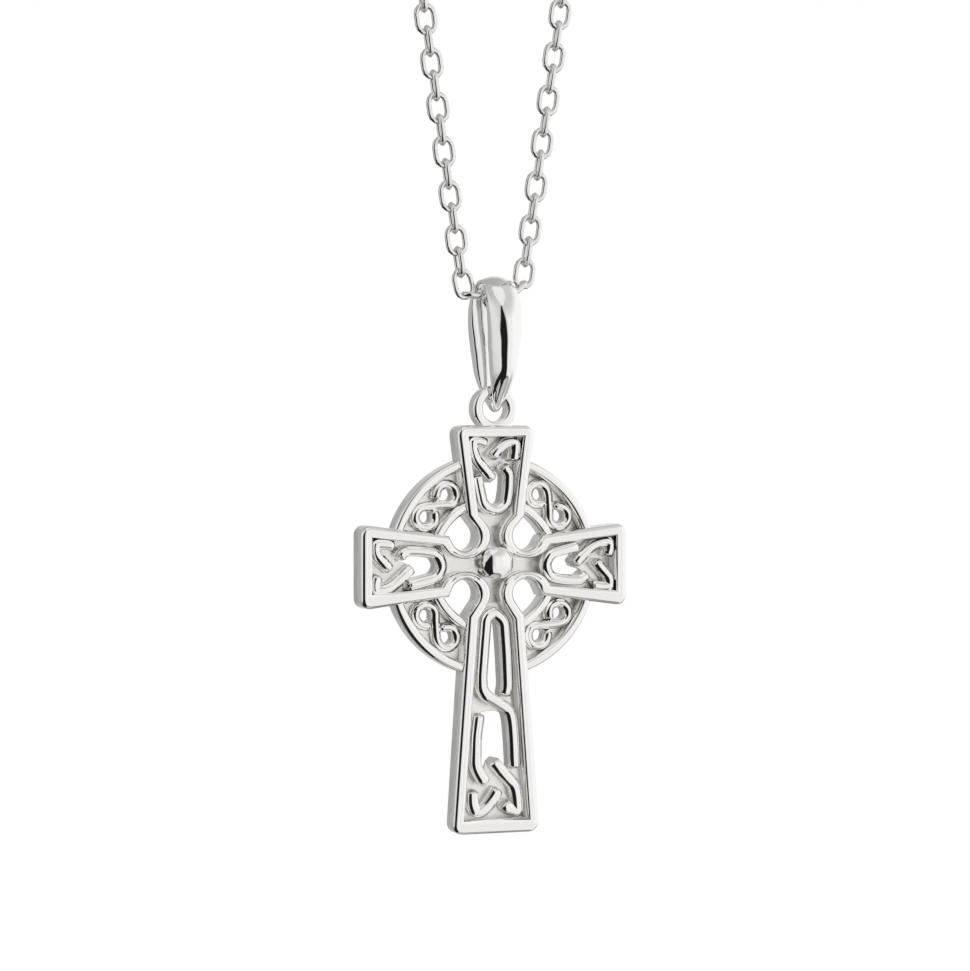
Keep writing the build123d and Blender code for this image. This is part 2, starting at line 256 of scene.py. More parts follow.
def arm_outline():
    """Corners of the cross without its ring, clockwise, with each armpit as an arc of short steps."""
    points = []
    names = list(arms)
    for index, name in enumerate(names):
        turn, reach, end_half = arms[name]
        next_turn = arms[names[(index + 1) % 4]][0]
        shoulder = turned(shoulder_half, shoulder_rise, turn)
        next_shoulder = turned(-shoulder_half, shoulder_rise, next_turn)
        centre = armpit_centre(*(shoulder + next_shoulder))
        points += [turned(-end_half, reach, turn), turned(end_half, reach, turn), shoulder]
        first = shoulder - centre
        last = next_shoulder - centre
        start = math.atan2(first.y, first.x) + math.acos(armpit_radius / first.length)
        stop = math.atan2(last.y, last.x) - math.acos(armpit_radius / last.length)
        while stop < start:
            stop += 2 * math.pi
        for step in range(armpit_steps + 1):
            angle = start + (stop - start) * step / armpit_steps
            points.append(centre + Vector((math.cos(angle), math.sin(angle))) * armpit_radius)
        points.append(next_shoulder)
    return points


def finished(mesh, polished):
    """Welds and turns a piece's faces outwards, and marks where the polishing wheel reached it."""
    bm = bmesh.new()
    bm.from_mesh(mesh)
    bmesh.ops.remove_doubles(bm, verts=bm.verts, dist=0.0005)
    bmesh.ops.recalc_face_normals(bm, faces=bm.faces)
    layer = bm.verts.layers.float.get("polish") or bm.verts.layers.float.new("polish")
    for vert in bm.verts:
        vert[layer] = 1.0 if polished(vert.co) else 0.0
    bm.to_mesh(mesh)
    bm.free()
    return mesh


def verts_in(geometry):
    """The vertices of what a bmesh operator made."""
    return [part for part in geometry if isinstance(part, bmesh.types.BMVert)]


outline = arm_outline()
bm = bmesh.new()
rim_face = bm.faces.new([bm.verts.new((p.x, p.y, 0)) for p in outline])
rim_face.normal_update()
bmesh.ops.inset_region(bm, faces=[rim_face], thickness=border_width,
                       use_boundary=True, use_even_offset=True)
# the border is broader along the lower edges, and narrow above and below the armpit openings
for vert in rim_face.verts:
    centre = armpit_centre(vert.co.x, vert.co.y)
    off = vert.co.xy - centre
    if off.length < armpit_radius + 1.2 * border_width:
        vert.co.xy = centre + off * armpit_squeeze
    elif vert.co.y < 1 - foot_reach or (abs(vert.co.x) > 3 and vert.co.y < 0):
        vert.co.y += low_border_extra
bmesh.ops.delete(bm, geom=[rim_face], context="FACES_ONLY")
raised = bmesh.ops.extrude_face_region(bm, geom=bm.faces[:], use_keep_orig=True)["geom"]
bmesh.ops.translate(bm, vec=(0, 0, arm_height), verts=verts_in(raised))
bmesh.ops.recalc_face_normals(bm, faces=bm.faces)


def outline_distance(x, y):
    """How far a point lies from the outline of the arms."""
    point = Vector((x, y))
    distances = []
    for one, two in zip(outline, outline[1:] + outline[:1]):
        run = two - one
        share = max(0.0, min(1.0, (point - one).dot(run) / run.length_squared))
        distances.append((one + run * share - point).length)
    return min(distances)


def on_outline(edge, reach):
    """Whether an edge's middle lies within a reach of the outline of the arms."""
    middle = (edge.verts[0].co + edge.verts[1].co) / 2
    return outline_distance(middle.x, middle.y) < reach


corners = [e for e in bm.edges if abs(e.verts[0].co.z - e.verts[1].co.z) > 1 and on_outline(e, 0.01) and
           max(abs(e.verts[0].co.x), abs(e.verts[0].co.y)) > 8]
bmesh.ops.bevel(bm, geom=corners, offset=arm_corner, affect="EDGES", segments=5, profile=0.5, material=-1)
top_edges = [e for e in bm.edges if min(e.verts[0].co.z, e.verts[1].co.z) > arm_height - 0.01 and
             any(abs(f.normal.z) < 0.5 for f in e.link_faces)]
inner_edges = [e for e in top_edges if not on_outline(e, outer_edge_reach)]
outer_edges = [e for e in top_edges if on_outline(e, outer_edge_reach)]
bmesh.ops.bevel(bm, geom=inner_edges, offset=inner_round, affect="EDGES", segments=5,
                profile=0.5, material=-1)
bmesh.ops.bevel(bm, geom=[e for e in outer_edges if e.is_valid], offset=outer_round, affect="EDGES",
                segments=6, profile=0.5, material=-1)
cross_meshes.append(finished(mesh_of(bm, "border"), lambda co: co.z > arm_height - border_polish or
                             outline_distance(co.x, co.y) < border_width * border_polish_reach))

# Ring: two rounded rims with a pierced band between them, in four quarters that end inside the arms.
ring_outer = 6.97
ring_inner = 3.8
rim_width = 0.62
ring_height = 1.3
rim_round = 0.3
rim_polish = 0.3            # how far down and in from its edges a rim is polished
quarters = (45, 135, 225, 315)
outer_half_sweep = 29       # half of a quarter's outer rim and of its inner one, in degrees
inner_half_sweep = 20


def ring_rim(inner, outer, start, sweep):
    """A rim of the ring with rounded top edges, swept about the hub."""
    bm = bmesh.new()
    bmesh.ops.create_grid(bm, x_segments=1, y_segments=1, size=0.5)
    for vert in bm.verts:
        vert.co = (inner + (vert.co.x + 0.5) * (outer - inner), 0, (vert.co.y + 0.5) * ring_height)
    top_corners = [v for v in bm.verts if v.co.z > 0.1]
    bmesh.ops.bevel(bm, geom=top_corners, offset=rim_round, affect="VERTICES", segments=5,
                    profile=0.5, material=-1)
    turn_to_start = Matrix.Rotation(math.radians(start), 3, "Z")
    bmesh.ops.rotate(bm, cent=(0, 0, 0), matrix=turn_to_start, verts=bm.verts)
    bmesh.ops.spin(bm, geom=bm.faces[:] + bm.edges[:] + bm.verts[:], cent=(0, 0, 0), axis=(0, 0, 1),
                   angle=math.radians(sweep), steps=26, use_merge=False, use_duplicate=False)
    band_side = outer if outer < ring_middle else inner
    return finished(mesh_of(bm, "ring_rim"), lambda co: co.z > ring_height - rim_polish or
                    abs(co.xy.length - band_side) > rim_polish)


ring_middle = (ring_outer + ring_inner) / 2
for quarter in quarters:
    cross_meshes.append(ring_rim(ring_outer - rim_width, ring_outer, quarter - outer_half_sweep,
                                 2 * outer_half_sweep))
    cross_meshes.append(ring_rim(ring_inner, ring_inner + rim_width, quarter - inner_half_sweep,
                                 2 * inner_half_sweep))

# Knotwork: bars with rounded tops, cast with the cross, that pass over and under each other. One that
# passes under stops just short of the one above it.
band_half = (ring_outer - ring_inner) / 2 - rim_width
ring_knot_half_angle = 18.0


def polar(radius, degrees):
    """A point at a distance from the middle, so many degrees round from the right."""
    return Vector((math.cos(math.radians(degrees)), math.sin(math.radians(degrees)))) * radius


def on_ring(quarter, around_share, out_share):
    """A point of a ring knot: around as a share of half its length, outward of half its band."""
    return polar(ring_middle + out_share * band_half, quarter + around_share * ring_knot_half_angle)


def corner_curve(before, here, after, reach, steps):
    """A corner as a short curve that starts and stops at a reach from it."""
    start = here + (before - here).normalized() * reach
    stop = here + (after - here).normalized() * reach
    parts = [step / steps for step in range(steps + 1)]
    return [start * (1 - part) ** 2 + here * 2 * part * (1 - part) + stop * part ** 2 for part in parts]


def round_corners(points, most, closed=False):
    """The same line with each corner turned into a short curve that starts at most so far from it."""
    line = points[-1:] + points + points[:1] if closed else points
    made = []
    for before, here, after in zip(line, line[1:], line[2:]):
        reach = min(most, 0.45 * min((here - before).length, (after - here).length))
        made += corner_curve(before, here, after, reach, 8)
    return made if closed else points[:1] + made + points[-1:]


def curve_mesh(data, name):
    """The mesh that a curve's settings make."""
    holder = bpy.data.objects.new(name, data)
    bpy.context.scene.collection.objects.link(holder)
    bpy.context.view_layer.update()
    mesh = bpy.data.meshes.new_from_object(holder.evaluated_get(bpy.context.evaluated_depsgraph_get()))
    bpy.data.objects.remove(holder)
    mesh.name = name
    return mesh


# how a strand's end dips: distances from the end, and its size there
strand_end = [(0.0, 0.45), (0.03, 0.68), (0.08, 0.85), (0.15, 0.95), (0.24, 1.0)]
# a strand's shoulder: how far in from its side, and down from its top
strand_shoulder = [(0.0, 0.24), (0.02, 0.19), (0.05, 0.155), (0.20, 0.035), (0.24, 0.01), (0.28, 0.0)]
strand_flat = 0.03          # half of the flat that a narrow strand keeps along its middle
strand_corner = 0.42
strand_polish = 0.4         # how far down from its top a strand is polished


def strand(points, width, height):
    """One strand of a knot: a bar from the back up to its height, with sloping shoulders."""
    narrower = min(1.0, (width / 2 - strand_flat) / strand_shoulder[-1][0])
    side = [(width / 2 - across * narrower, height - down) for across, down in strand_shoulder]
    side = [(width / 2, 0)] + side
    arch = side + [(-across, up) for across, up in side[::-1]]
    section = bpy.data.curves.new("section", "CURVE")
    section.dimensions = "2D"
    path = section.splines.new("POLY")
    path.points.add(len(arch) - 1)
    for spot, (across, up) in zip(path.points, arch):
        spot.co = (across, up, 0, 1)
    path.use_cyclic_u = True
    section_holder = bpy.data.objects.new("section", section)
    bpy.context.scene.collection.objects.link(section_holder)
    line = round_corners(points, strand_corner)
    first_run = (line[1] - line[0]).normalized()
    last_run = (line[-2] - line[-1]).normalized()
    line = ([line[0] + first_run * off for off, _ in strand_end] + line[1:-1] +
            [line[-1] + last_run * off for off, _ in reversed(strand_end)])
    sizes = [size for _, size in strand_end]
    sizes = sizes + [1.0] * (len(line) - 2 * len(sizes)) + sizes[::-1]
    data = bpy.data.curves.new("line", "CURVE")
    data.dimensions = "3D"
    data.twist_mode = "Z_UP"
    spline = data.splines.new("POLY")
    spline.points.add(len(line) - 1)
    for spot, point, size in zip(spline.points, line, sizes):
        spot.co = (point.x, point.y, 0, 1)
        spot.radius = size
    data.bevel_mode = "OBJECT"
    data.bevel_object = section_holder
    data.use_fill_caps = True
    mesh = curve_mesh(data, "strand")
    bpy.data.objects.remove(section_holder)
    return finished(mesh, lambda co: co.z > height - strand_polish)


# Knot of the head and of the two side arms: a loop and two hooked strands that cross it.
strand_width = 0.66
arm_knot_height = 1.5
arm_strands = [
    [(-0.18, 0.86), (-0.38, 0.885), (-0.57, 0.885), (-0.585, 0.83), (-0.52, 0.76), (-0.30, 0.69),
     (0.0, 0.605)],
    [(0.23, 0.715), (0.44, 0.66), (0.45, 0.54), (0.39, 0.425), (0.0, 0.385), (-0.37, 0.43),
     (-0.45, 0.53), (-0.53, 0.65)],
    [(-0.10, 0.765), (0.17, 0.84), (0.33, 0.88), (0.56, 0.885), (0.58, 0.82), (0.55, 0.735)],
]
arm_gap = [
    (0.23, 0.70), (0.44, 0.65), (0.45, 0.54), (0.39, 0.425), (0.0, 0.385), (-0.37, 0.43), (-0.45, 0.53),
    (-0.48, 0.59), (-0.38, 0.62), (-0.06, 0.60), (0.04, 0.60), (0.14, 0.68),
]

# Knot of the foot, with its long loop and one more crossing.
foot_strand_width = 0.72
foot_strands = [
    [(-0.31, 0.493), (-0.39, 0.455), (-0.38, 0.335), (-0.33, 0.205), (0.02, 0.171), (0.29, 0.195),
     (0.34, 0.291), (0.39, 0.415), (0.37, 0.458), (0.25, 0.485), (-0.11, 0.514), (-0.43, 0.542),
     (-0.49, 0.58), (-0.51, 0.64), (-0.52, 0.765)],
    [(-0.2, 0.887), (-0.36, 0.915), (-0.55, 0.925), (-0.55, 0.875), (-0.51, 0.826), (-0.24, 0.78),
     (0.06, 0.727)],
    [(-0.10, 0.833), (0.04, 0.871), (0.22, 0.909), (0.43, 0.925), (0.53, 0.89), (0.55, 0.835)],
    [(0.43, 0.55), (0.50, 0.636), (0.49, 0.745), (0.37, 0.782), (0.19, 0.817)],
]
foot_gaps = [
    [(0.02, 0.185), (-0.31, 0.21), (-0.38, 0.335), (-0.39, 0.455), (-0.30, 0.49), (-0.12, 0.505),
     (0.25, 0.48), (0.37, 0.455), (0.38, 0.415), (0.33, 0.291), (0.27, 0.203)],
    [(0.40, 0.56), (0.48, 0.60), (0.50, 0.65), (0.49, 0.745), (0.36, 0.778), (0.20, 0.775), (0.13, 0.735),
     (-0.02, 0.72), (-0.16, 0.735), (-0.32, 0.75), (-0.52, 0.75), (-0.51, 0.64), (-0.46, 0.575),
     (-0.22, 0.548), (0.1, 0.545)],
]
for name in arms:
    knot = foot_strands if name == "foot" else arm_strands
    width = foot_strand_width if name == "foot" else strand_width
    for points in knot:
        cross_meshes.append(strand([on_arm(name, *p) for p in points], width, arm_knot_height))

# Knots of the ring: one S with curled ends in each quarter, of which this is the half from the middle out.
ring_strand_width = 0.56
ring_knot_height = 1.14
ring_strand = [(0.27, 0.42), (0.45, 0.66), (0.68, 0.7), (0.9, 0.46), (1.0, -0.02), (0.9, -0.46),
               (0.68, -0.7), (0.45, -0.66), (0.27, -0.42), (0.14, -0.22)]
ring_gap = [(0.30, 0.0), (0.47, -0.56), (0.68, -0.62), (0.86, -0.42), (0.95, -0.02), (0.86, 0.42),
            (0.68, 0.62), (0.47, 0.56)]
for quarter in quarters:
    half = [on_ring(quarter, around, out) for around, out in ring_strand]
    other_half = [on_ring(quarter, -around, -out) for around, out in ring_strand]
    cross_meshes.append(strand(half[::-1] + other_half, ring_strand_width, ring_knot_height))


# Floor of the casting: a thin plate between the borders and between the rims, pierced inside the
# knots' loops.
def pierced_plate(loops, thickness, edge):
    """A flat plate with its holes: the first loop is its outline, and the others are cut through it."""
    data = bpy.data.curves.new("plate", "CURVE")
    data.dimensions = "2D"
    data.fill_mode = "BOTH"
    data.extrude = thickness / 2 - edge
    data.bevel_depth = edge
    data.offset = -edge
    data.bevel_resolution = 1
    for loop in loops:
        spline = data.splines.new("POLY")
        spline.points.add(len(loop) - 1)
        for spot, point in zip(spline.points, loop):
            spot.co = (point.x, point.y, 0, 1)
        spline.use_cyclic_u = True
    mesh = curve_mesh(data, "plate")
    mesh.transform(Matrix.Translation((0, 0, thickness / 2)))
    return finished(mesh, lambda co: co.z < thickness / 2)


def rounded(points):
    """A closed loop with its corners well rounded."""
    return round_corners(points, 9.0, closed=True)


def inside_outline(points, margin):
    """The outline moved inwards, so that a plate ends inside the border's wall."""
    bm = bmesh.new()
    face = bm.faces.new([bm.verts.new((p.x, p.y, 0)) for p in points])
    face.normal_update()
    bmesh.ops.inset_region(bm, faces=[face], thickness=margin,
                           use_boundary=True, use_even_offset=True)
    moved = [Vector((v.co.x, v.co.y)) for v in face.verts]
    bm.free()
    return moved


plate_margin = 0.3          # how far the plates' edges lie inside the borders and rims
plate_edge = 0.05
plate_loops = [inside_outline(outline, plate_margin)]
for name in ("head", "right", "left"):
    plate_loops.append(rounded([on_arm(name, *p) for p in arm_gap]))
for gap in foot_gaps:
    plate_loops.append(rounded([on_arm("foot", *p) for p in gap]))
cross_meshes.append(pierced_plate(plate_loops, floor_height, plate_edge))
arc_steps = 24
for quarter in quarters:
    edge = []
    for radius, half_sweep in ((ring_outer - plate_margin, outer_half_sweep),
                               (ring_inner + plate_margin, -inner_half_sweep)):
        for step in range(arc_steps + 1):
            edge.append(polar(radius, quarter - half_sweep + 2 * half_sweep * step / arc_steps))
    gaps = [rounded([on_ring(quarter, side * around, out) for around, out in ring_gap]) for side in (1, -1)]
    cross_meshes.append(pierced_plate([edge] + gaps, floor_height, plate_edge))

# Boss: a round post with a domed top, cast with the cross in the middle of the hub and polished.
boss_radius = 1.04
boss_dome = 1.2
boss_height = 2.4
boss_rise = 0.18
bm = bmesh.new()
dome_cut = math.sqrt(boss_dome ** 2 - boss_radius ** 2)
bmesh.ops.create_uvsphere(bm, u_segments=64, v_segments=32, radius=boss_dome)
bmesh.ops.bisect_plane(bm, geom=bm.verts[:] + bm.edges[:] + bm.faces[:], plane_co=(0, 0, dome_cut),
                       plane_no=(0, 0, 1), clear_inner=True)
bottom = [e for e in bm.edges if e.is_boundary]
post = bmesh.ops.extrude_edge_only(bm, edges=bottom)["geom"]
bmesh.ops.translate(bm, vec=(0, 0, boss_dome - boss_height - dome_cut), verts=verts_in(post))
bmesh.ops.translate(bm, vec=(0, boss_rise, boss_height - boss_dome), verts=bm.verts)
cross_meshes.append(finished(mesh_of(bm, "boss"), lambda co: True))

# Eye: a thick rounded ring cast on the top edge, for the bail's foot.
eye_centre_rise = head_reach + 1.03
eye_hole = 0.8
eye_outer = 1.45
eye_thickness = 1.2
eye_round = 0.27
bm = bmesh.new()
bmesh.ops.create_grid(bm, x_segments=1, y_segments=1, size=0.5)
for vert in bm.verts:
    vert.co = (eye_hole + (vert.co.x + 0.5) * (eye_outer - eye_hole), 0, back_y + vert.co.y * eye_thickness)
bmesh.ops.bevel(bm, geom=bm.verts[:], offset=eye_round, affect="VERTICES", segments=5,
                profile=0.5, material=-1)
bmesh.ops.delete(bm, geom=bm.faces[:], context="FACES_ONLY")
bmesh.ops.spin(bm, geom=bm.verts[:] + bm.edges[:], cent=(0, 0, 0), axis=(0, 0, 1), angle=2 * math.pi,
               steps=64, use_merge=True, use_duplicate=False)
bmesh.ops.translate(bm, vec=(0, eye_centre_rise, 0), verts=bm.verts)
cross_meshes.append(finished(mesh_of(bm, "eye"), lambda co: True))


def piece_of(bm, name):
    """The object of a piece that was made in millimetres: smooth, and in metres."""
    for face in bm.faces:
        face.smooth = True
    bmesh.ops.scale(bm, vec=(0.001, 0.001, 0.001), verts=bm.verts)
    return object_of(bm, name)


bm = bmesh.new()
for mesh in cross_meshes:
    bm.from_mesh(mesh)
# the foot grows thinner towards its end, from the back
for vert in bm.verts:
    share = max(0.0, min(1.0, (-vert.co.y - shoulder_rise) / (foot_reach - shoulder_rise)))
    vert.co.z += (1 - vert.co.z / arm_height) * foot_end_thinner * share
stand_up = Matrix.Translation((0, back_y, cross_z)) @ Matrix.Rotation(math.radians(90), 4, "X")
bmesh.ops.transform(bm, matrix=stand_up, verts=bm.verts)
cross_casting = piece_of(bm, "cross_casting")
weights = cross_casting.modifiers.new("even_shading", "WEIGHTED_NORMAL")
weights.keep_sharp = True


def bare_silver(name):
    """A new silver with its node tree, its shader and the place where its patterns lie."""
    material = bpy.data.materials.new(name)
    material.use_nodes = True
    tree = material.node_tree
    shader = tree.nodes["Principled BSDF"]
    shader.inputs["Metallic"].default_value = 1.0
    return material, tree, shader, add_node(tree, "ShaderNodeTexCoord").outputs["Object"]


# Silver, cast and polished: nearly a mirror on the raised parts, a little warm. The wheel doesn't
# reach the wells, where the skin of the casting stays fine-grained and dull.
silver, tree, shader, place = bare_silver("polished_cast_silver")
grains_per_mm = 7.0
wheel_marks_per_mm = 0.9
polish = add_node(tree, "ShaderNodeAttribute", {"attribute_name": "polish"}).outputs["Fac"]
grain = add_node(tree, "ShaderNodeTexNoise", Vector=place, Scale=1000 * grains_per_mm,
                 Detail=3.0, Roughness=0.6).outputs["Fac"]
wheel = add_node(tree, "ShaderNodeTexNoise", Vector=place, Scale=1000 * wheel_marks_per_mm,
                 Detail=2.0, Roughness=0.5).outputs["Fac"]
dull = add_node(tree, "ShaderNodeMapRange", i0=grain, i1=0.3, i2=0.7, i3=0.3, i4=0.36).outputs[0]
bright = add_node(tree, "ShaderNodeMapRange", i0=wheel, i1=0.3, i2=0.7, i3=0.05, i4=0.09).outputs[0]
rough = add_node(tree, "ShaderNodeMix", plain_number, i0=polish, i2=dull, i3=bright)
tree.links.new(rough.outputs[0], shader.inputs["Roughness"])
tint = add_node(tree, "ShaderNodeMix", {"data_type": "RGBA"}, i0=polish,
                i6=linear("#fbfaf7"), i7=linear("#fcfbf9"))
tree.links.new(tint.outputs[2], shader.inputs["Base Color"])
depth = add_node(tree, "ShaderNodeMapRange", i0=polish, i1=0.0, i2=1.0, i3=0.025, i4=0.01).outputs[0]
bumps = add_node(tree, "ShaderNodeBump", Height=grain, Strength=depth, Distance=0.00002)
tree.links.new(bumps.outputs[0], shader.inputs["Normal"])
cross_casting.data.materials.append(silver)
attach(cross_casting, "cross")
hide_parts("cross")


# Bail: one strip of silver drawn into a loop, with flat sides and a crowned, highly polished outside,
# broad under the chain and narrow at the foot, which passes through the eye.
bail_foot = -217.81
bail_height = 8.5
bail_half_depth = 3.0
bail_half_width = 1.08
bail_shift = 0.15           # the bail hangs a little to the right of the hub's line
bail_side = 0.4             # the flat side, as a share of the wall, below the crown
bail_inner_bulge = 0.13
bail_side_bevel = 0.05
# the loop in side view, as shares of half its depth and of its height, and its width from the foot up
bail_outside = [(0.12, 0.0), (0.25, 0.053), (0.52, 0.15), (0.86, 0.27), (0.93, 0.40), (1.0, 0.54),
                (0.97, 0.67), (0.83, 0.79), (0.52, 0.93), (0.18, 1.0)]
bail_inside = [(0.066, 0.088), (0.22, 0.112), (0.31, 0.176), (0.36, 0.282), (0.40, 0.494), (0.46, 0.62),
               (0.46, 0.74), (0.38, 0.847), (0.22, 0.925), (0.08, 0.945)]
bail_leaf = [(0.0, 0.34), (0.06, 0.38), (0.14, 0.49), (0.27, 0.69), (0.45, 0.87), (0.62, 0.96),
             (0.76, 1.0), (1.0, 0.92)]
inside_steps = [step / 6 - 1 for step in range(13)]
crown_steps = [1 - step / 12 for step in range(25)]
bail_section = [(across, -bail_inner_bulge * (1 - across ** 2)) for across in inside_steps]
bail_section += [(across, bail_side + (1 - bail_side) * (1 - across ** 2)) for across in crown_steps]


def loop_round(table):
    """A smooth closed loop in the bail's side view through one half's table and its mirror."""
    right = [Vector((out * bail_half_depth, up * bail_height)) for out, up in table]
    return rounded(right + [Vector((-p.x, p.y)) for p in right[::-1]])


def leaf_half_width(height):
    """Half of the bail's width at a height above its foot, eased between the table's rows."""
    share = max(0.0, min(1.0, height / bail_height))
    for (low, narrow), (high, wide) in zip(bail_leaf, bail_leaf[1:]):
        if share <= high:
            part = (share - low) / (high - low)
            return bail_half_width * (narrow + (wide - narrow) * part)
    return bail_half_width * bail_leaf[-1][1]


outer_loop = loop_round(bail_outside)
inner_loop = loop_round(bail_inside)
bm = bmesh.new()
rings = []
for outer, inner in zip(outer_loop, inner_loop):
    half = leaf_half_width((outer.y + inner.y) / 2)
    verts = []
    for across, out in bail_section:
        spot = inner + (outer - inner) * out
        verts.append(bm.verts.new((across * half, spot.x, spot.y)))
    rings.append([bm.edges.new((one, two)) for one, two in zip(verts, verts[1:] + verts[:1])])
for one, two in zip(rings, rings[1:] + rings[:1]):
    bmesh.ops.bridge_loops(bm, edges=one + two)
bmesh.ops.recalc_face_normals(bm, faces=bm.faces)
bmesh.ops.translate(bm, vec=(bail_shift, 0, bail_foot), verts=bm.verts)
bail_loop = piece_of(bm, "bail_loop")
crisp = bail_loop.modifiers.new("crisp_sides", "BEVEL")
crisp.width = bail_side_bevel / 1000
crisp.segments = 2
crisp.limit_method = "ANGLE"
crisp.angle_limit = math.radians(55)
bail_loop.modifiers.new("even_shading", "WEIGHTED_NORMAL")

# Silver, buffed to a mirror: soft buffing marks too fine to see singly, which widen the highlights
# here and there, and the faint waviness of metal finished by hand.
mirror_silver, tree, shader, place = bare_silver("mirror_polished_silver")
buffing_marks_per_mm = 1.6
waves_per_mm = 0.45
buffing = add_node(tree, "ShaderNodeTexNoise", Vector=place, Scale=1000 * buffing_marks_per_mm,
                   Detail=3.0, Roughness=0.55).outputs["Fac"]
wave = add_node(tree, "ShaderNodeTexNoise", Vector=place, Scale=1000 * waves_per_mm,
                Detail=1.0, Roughness=0.4).outputs["Fac"]
haze = add_node(tree, "ShaderNodeMapRange", i0=buffing, i1=0.3, i2=0.7, i3=0.02, i4=0.06)
tree.links.new(haze.outputs[0], shader.inputs["Roughness"])
tint = add_node(tree, "ShaderNodeMix", {"data_type": "RGBA"}, i0=buffing,
                i6=linear("#fbfbfa"), i7=linear("#fdfdfc"))
tree.links.new(tint.outputs[2], shader.inputs["Base Color"])
bumps = add_node(tree, "ShaderNodeBump", Height=wave, Strength=0.05, Distance=0.00003)
tree.links.new(bumps.outputs[0], shader.inputs["Normal"])
bail_loop.data.materials.append(mirror_silver)
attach(bail_loop, "bail")
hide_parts("bail")


# Chain: oval links of drawn silver wire, each turned a quarter from its neighbours. The route is half
# of the loop, from the bail up: the length of each straight run and its lean away from upright.
chain_route = [(59.0, 8.4), (57.0, 8.1), (52.0, 7.2), (27.0, -4.0), (15.0, -31.0), (10.0, -60.0)]
chain_low = -210.68
chain_top = 0.6
chain_corner = 1.885        # how far to each side of the middle the chain turns up
chain_turn_radius = 0.8
link_length = 2.06
link_width = 1.43
link_wire = 0.34
link_twist = math.radians(-9)     # the chain hangs twisted a little to the left
link_pitch = link_length - 2 * link_wire
link_shift = 0.3            # the lowest link lies this far to the right of the middle
# what the clasp takes of the loop, to which the chain's two ends are fitted
clasp_ring_x = 0.745
clasp_ring_radius = 2.2
clasp_wire = 0.45
clasp_eye_x = -2.525
clasp_eye_radius = 0.62
clasp_eye_wire = 0.25
jump_radius = 0.66
jump_wire = 0.16
right_end = clasp_ring_x + clasp_ring_radius - clasp_wire + 2 * jump_radius - 2 * jump_wire
left_end = clasp_eye_x - clasp_eye_radius + clasp_eye_wire


def chain_side(end_x):
    """The route up one side as closely spaced points, with each corner rounded."""
    corners = [Vector((0, chain_low)), Vector((chain_corner, chain_low))]
    for run, lean in chain_route:
        corners.append(corners[-1] + polar(run, 90 - lean))
    corners.append(Vector((end_x, chain_top)))
    points = [corners[0]]
    for before, here, after in zip(corners, corners[1:], corners[2:]):
        reach = 0.45 * min((here - before).length, (after - here).length)
        if before is corners[0]:
            reach = chain_turn_radius * math.tan((here - before).angle(after - here) / 2)
        points += corner_curve(before, here, after, reach, 12)
    points.append(corners[-1])
    return points


def stepped(points, start, pitch):
    """Where each link meets the next: points a pitch apart along the route, after a start."""
    spots = [start]
    index = 0
    while True:
        here = spots[-1]
        while index < len(points) - 1 and (points[index + 1] - here).length < pitch:
            index += 1
        if index >= len(points) - 1:
            return spots, (points[-1] - here).length
        one = points[index] if (points[index] - here).length < pitch else here
        two = points[index + 1]
        low, high = 0.0, 1.0
        for _ in range(24):
            middle = (low + high) / 2
            if ((one + (two - one) * middle) - here).length < pitch:
                low = middle
            else:
                high = middle
        spots.append(one + (two - one) * low)


wire_line = bpy.data.curves.new("link", "CURVE")
wire_line.dimensions = "3D"
wire_line.twist_mode = "Z_UP"
wire_line.bevel_depth = link_wire / 2
wire_line.bevel_resolution = 1
oval = wire_line.splines.new("POLY")
end_radius = (link_width - link_wire) / 2
straight = (link_length - link_width) / 2
end_steps = 6
oval_points = []
for centre, start in ((straight, 0), (-straight, 180)):
    for step in range(end_steps + 1):
        oval_points.append(polar(end_radius, start + 180 * step / end_steps) + Vector((0, centre)))
oval.points.add(len(oval_points) - 1)
for spot, (across, along) in zip(oval.points, oval_points):
    spot.co = (across, along, 0, 1)
oval.use_cyclic_u = True
link_mesh = curve_mesh(wire_line, "link")
fitting_rounds = 4
twist_links = 3             # over so many links the twist grows to its whole
bm = bmesh.new()
for side, end_x in ((1, right_end), (-1, -left_end)):
    route = chain_side(end_x)
    first = Vector((link_pitch / 2 + side * link_shift, chain_low))
    # the pitch is stretched or squeezed a little, so that a whole number of links fills the route
    pitch = link_pitch
    for _ in range(fitting_rounds):
        spots, left_over = stepped(route, first, pitch)
        missing = left_over - pitch if left_over > pitch / 2 else left_over
        pitch *= 1 + missing / pitch / len(spots)
    spots, left_over = stepped(route, first, pitch)
    if left_over > pitch / 2:
        spots.append(route[-1])
    else:
        spots[-1] = route[-1]
    if side == 1:
        spots.insert(0, first - Vector((link_pitch, 0)))
    for index, (one, two) in enumerate(zip(spots, spots[1:])):
        face_on = index % 2 == (0 if side == 1 else 1)
        along = Vector((side * (two - one).x, 0, (two - one).y)).normalized()
        across = along.cross(Vector((0, 1, 0))) if face_on else Vector((0, 1, 0))
        twist = link_twist * max(0, min(1, (index - 1) / twist_links))
        across = Matrix.Rotation(twist, 3, along) @ across
        lie = Matrix((across, along, across.cross(along))).transposed().to_4x4()
        centre = (one + two) / 2
        piece = link_mesh.copy()
        piece.transform(Matrix.Translation((side * centre.x, 0, centre.y)) @ lie)
        bm.from_mesh(piece)
        bpy.data.meshes.remove(piece)
chain_links = piece_of(bm, "chain_links")

